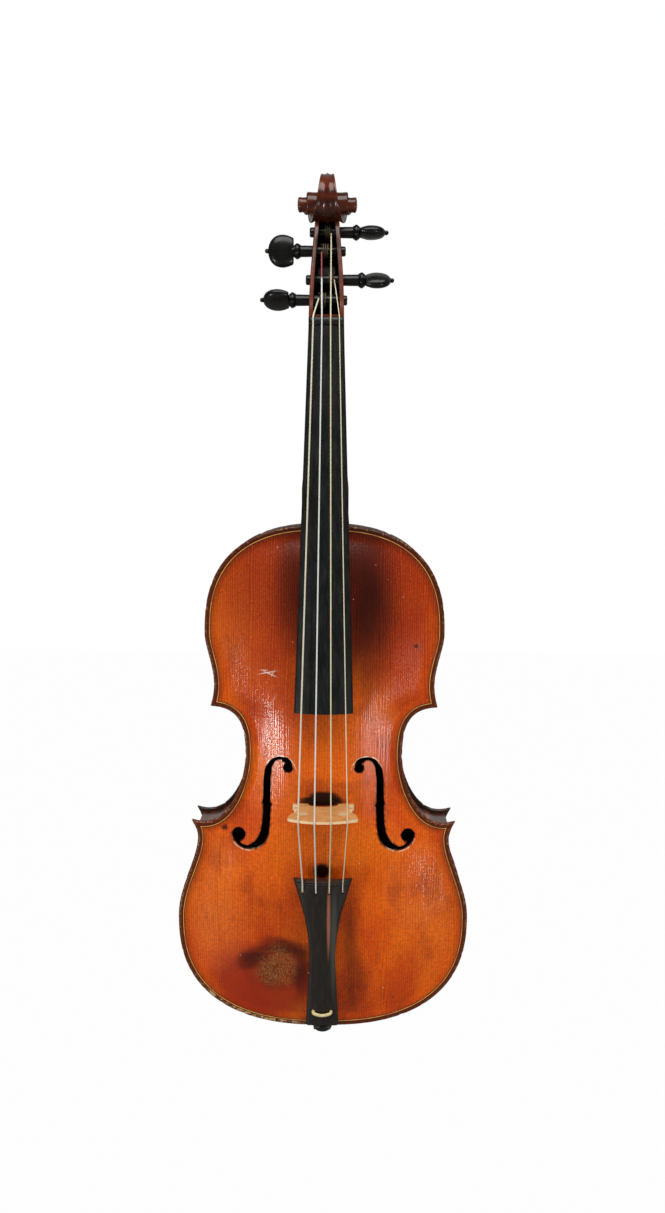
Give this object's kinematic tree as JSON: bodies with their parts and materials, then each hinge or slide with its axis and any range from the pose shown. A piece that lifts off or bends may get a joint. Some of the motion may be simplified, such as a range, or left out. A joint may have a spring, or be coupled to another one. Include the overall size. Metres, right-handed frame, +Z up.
{
  "type": "baroque violin",
  "caption": "Bowed string instrument with an arched hollow body, waisted outline, sound holes, carved scroll, turning pegs and gut strings over an arched bridge.",
  "frame": {"origin": "the point under the scroll, midway between the two arms of a wall hanger", "axes": "+Z up along the strings from the end button to the scroll, -Y the way the belly faces, +X to the treble side"},
  "size_m": [0.203, 0.0957, 0.6032],
  "materials": {
    "varnished_spruce": "satin varnish",
    "varnished_maple": "satin varnish",
    "purfling": "satin varnish",
    "bare_spruce": "bare",
    "ebony": "satin",
    "bare_maple": "bare",
    "gut": "satin"
  },
  "bodies": {
    "violin": {"top_plate": "varnished_spruce", "back_plate": "varnished_maple", "upper_rib_bass": "varnished_maple", "upper_rib_treble": "varnished_maple", "c_rib_bass": "varnished_maple", "c_rib_treble": "varnished_maple", "lower_rib_bass": "varnished_maple", "lower_rib_treble": "varnished_maple", "top_lining_upper_bass": "bare_spruce", "top_lining_upper_treble": "bare_spruce", "top_lining_c_bass": "bare_spruce", "top_lining_c_treble": "bare_spruce", "top_lining_lower_bass": "bare_spruce", "top_lining_lower_treble": "bare_spruce", "back_lining_upper_bass": "bare_spruce", "back_lining_upper_treble": "bare_spruce", "back_lining_c_bass": "bare_spruce", "back_lining_c_treble": "bare_spruce", "back_lining_lower_bass": "bare_spruce", "back_lining_lower_treble": "bare_spruce", "upper_corner_block_bass": "bare_spruce", "upper_corner_block_treble": "bare_spruce", "lower_corner_block_bass": "bare_spruce", "lower_corner_block_treble": "bare_spruce", "top_block": "bare_spruce", "bottom_block": "bare_spruce", "bass_bar": "bare_spruce", "sound_post": "bare_spruce", "top_purfling": "purfling", "back_purfling": "purfling", "neck": "varnished_maple", "fingerboard": "ebony", "nut": "ebony", "saddle": "ebony", "bridge": "bare_maple", "tailpiece": "ebony", "tailpiece_fret": "ebony", "tailgut": "gut", "end_button": "ebony", "string_g": "gut", "string_d": "gut", "string_a": "gut", "string_e": "gut"},
    "g_peg": {"peg_g": "ebony", "winding_g": "gut"},
    "d_peg": {"peg_d": "ebony", "winding_d": "gut"},
    "a_peg": {"peg_a": "ebony", "winding_a": "gut"},
    "e_peg": {"peg_e": "ebony", "winding_e": "gut"}
  },
  "joints": [
    {"name": "g_peg_turn", "type": "hinge", "parent": "violin", "child": "g_peg", "pos_m": [0, -0.00866, -0.0503], "axis": [-1, 0, 0], "continuous": true},
    {"name": "d_peg_turn", "type": "hinge", "parent": "violin", "child": "d_peg", "pos_m": [0, -0.00133, -0.0168], "axis": [-1, 0, 0], "continuous": true},
    {"name": "a_peg_turn", "type": "hinge", "parent": "violin", "child": "a_peg", "pos_m": [0, 0.00181, -0.0037], "axis": [1, 0, 0], "continuous": true},
    {"name": "e_peg_turn", "type": "hinge", "parent": "violin", "child": "e_peg", "pos_m": [0, -0.0057, -0.0365], "axis": [1, 0, 0], "continuous": true}
  ]
}
